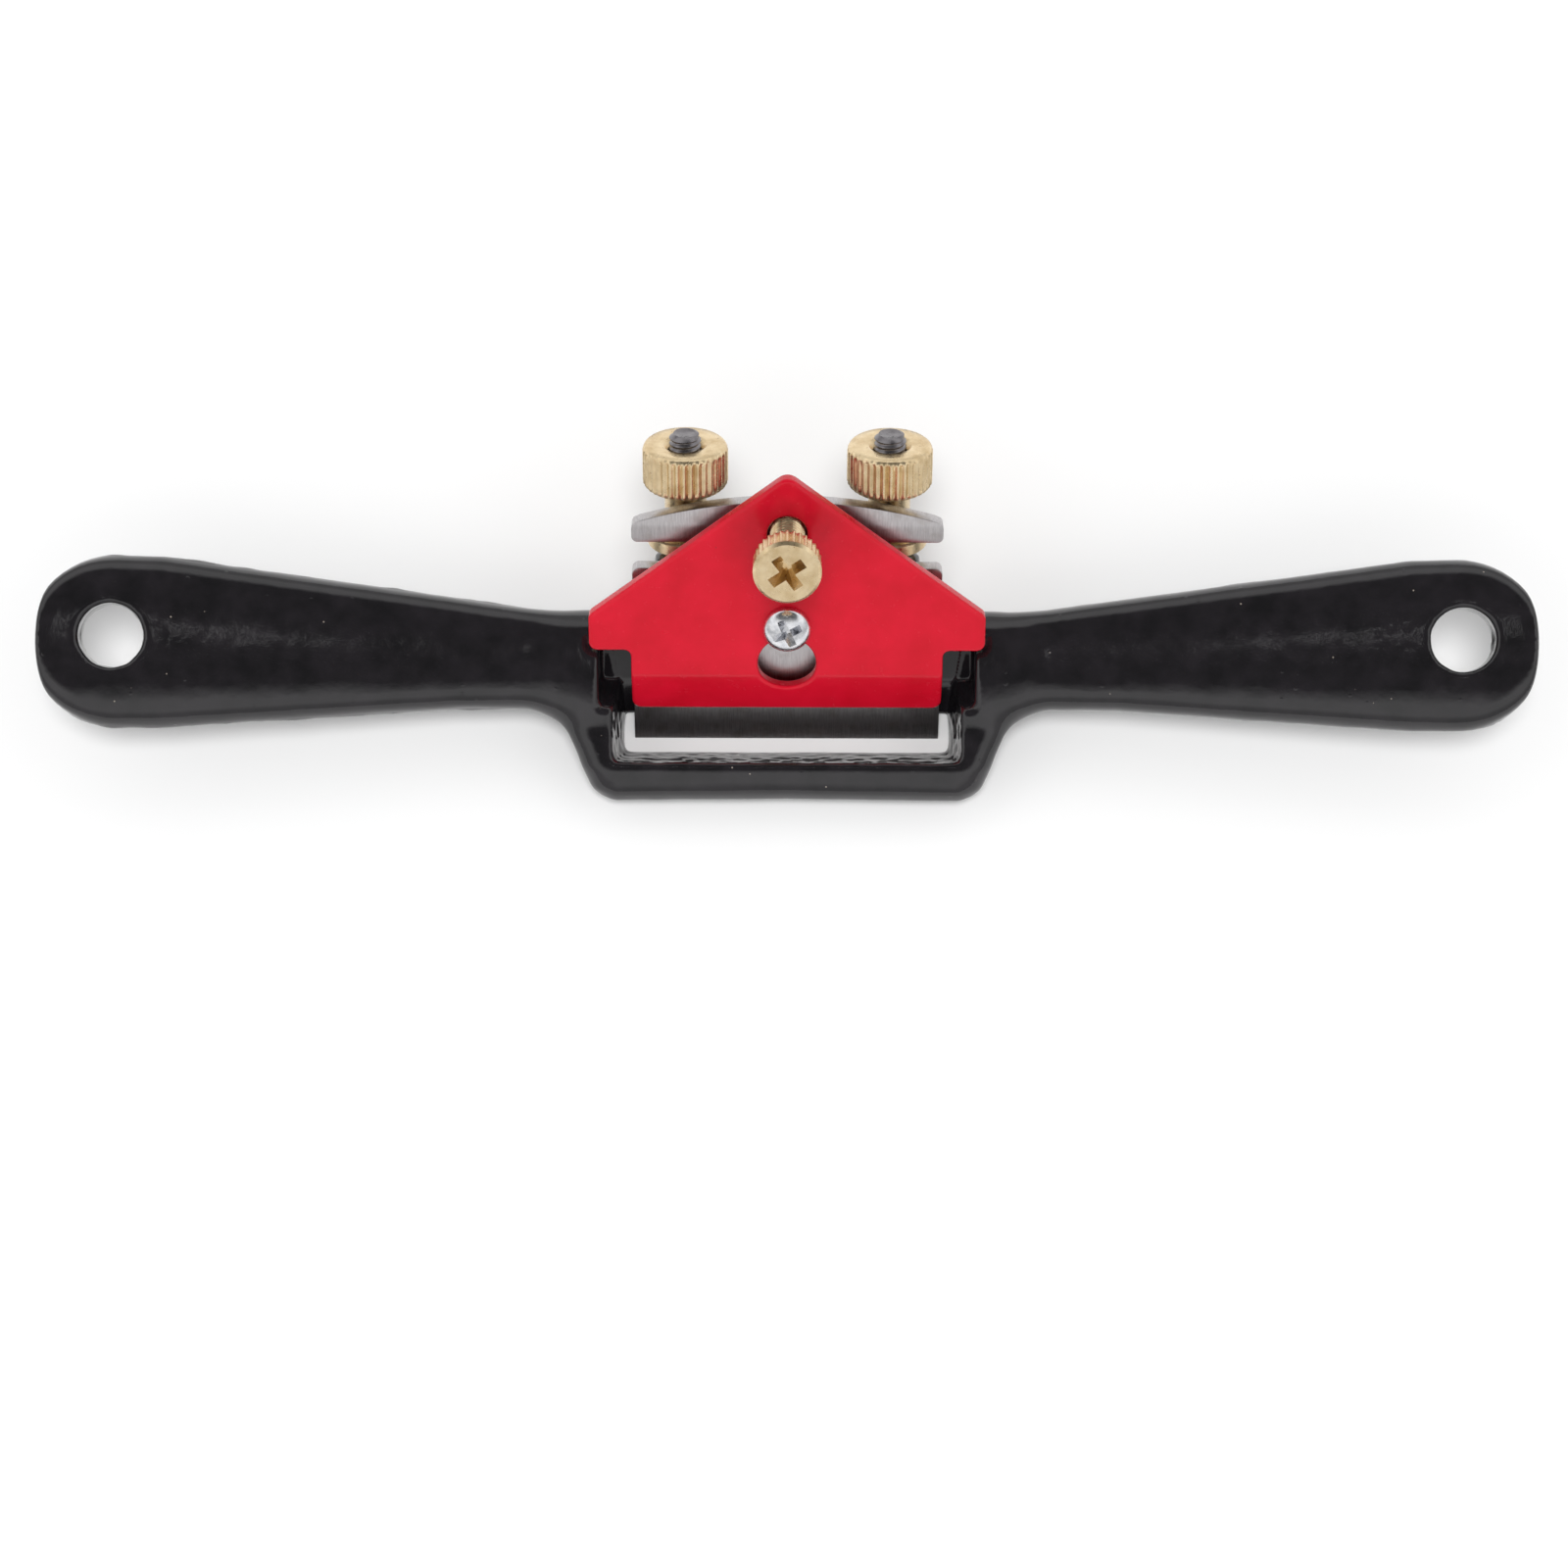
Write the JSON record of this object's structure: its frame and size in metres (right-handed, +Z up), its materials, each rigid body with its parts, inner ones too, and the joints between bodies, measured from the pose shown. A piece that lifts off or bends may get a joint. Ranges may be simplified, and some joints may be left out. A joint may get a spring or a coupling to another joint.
{
  "type": "spokeshave",
  "caption": "Metal spokeshave with winged handles, a flat sole, a blade clamped under a peaked cap iron, a knurled thumb screw and screw adjusters for the blade.",
  "frame": {"origin": "middle of the cutting edge, on the plane of the sole", "axes": "+Z up from the sole, +X along the handles to the right, -Y towards the toe, in front of the blade"},
  "size_m": [0.21, 0.0491, 0.0383],
  "materials": {
    "black_enamel": "thick glossy black enamel over cast iron, with small runs and specks",
    "red_enamel": "glossy red enamel over pressed steel",
    "blade_steel": "ground across the blade, with a honed bevel",
    "dark_steel": "oiled dark steel thread",
    "brass": "turned and knurled brass",
    "zinc_plate": "bright zinc plate"
  },
  "bodies": {
    "frame": {"body_casting": "black_enamel", "left_stud": "dark_steel", "right_stud": "dark_steel", "cap_screw": "zinc_plate"},
    "blade": {"blade": "blade_steel"},
    "left_nut": {"left_adjuster_nut": "brass"},
    "right_nut": {"right_adjuster_nut": "brass"},
    "thumb_screw": {"thumb_screw": "brass"},
    "cap": {"cap_iron": "red_enamel"}
  },
  "joints": [
    {"name": "blade_slide", "type": "slide", "parent": "frame", "child": "blade", "axis": [0, 0.7071, 0.7071], "range_m": [-0.001, 0.002]},
    {"name": "left_nut_turn", "type": "hinge", "parent": "blade", "child": "left_nut", "pos_m": [-0.0141, 0.02503, 0.0174], "axis": [0, 0.7071, 0.7071], "range_deg": [-450, 900]},
    {"name": "right_nut_turn", "type": "hinge", "parent": "blade", "child": "right_nut", "pos_m": [0.0141, 0.02503, 0.0174], "axis": [0, 0.7071, 0.7071], "range_deg": [-450, 900]},
    {"name": "thumb_screw_turn", "type": "hinge", "parent": "frame", "child": "thumb_screw", "pos_m": [0, 0.02065, 0.02772], "axis": [0, -0.7071, 0.7071], "range_deg": [0, 720]},
    {"name": "cap_rock", "type": "hinge", "parent": "frame", "child": "cap", "pos_m": [0, 0.00474, 0.00474], "axis": [1, 0, 0], "range_deg": [-3.33, 0]}
  ],
  "couplings": [
    {"joint": "left_nut_turn", "follows": "blade_slide", "rad_per_m": 7854},
    {"joint": "right_nut_turn", "follows": "blade_slide", "rad_per_m": 7854},
    {"joint": "thumb_screw_turn", "follows": "cap_rock", "ratio": -215.98}
  ]
}
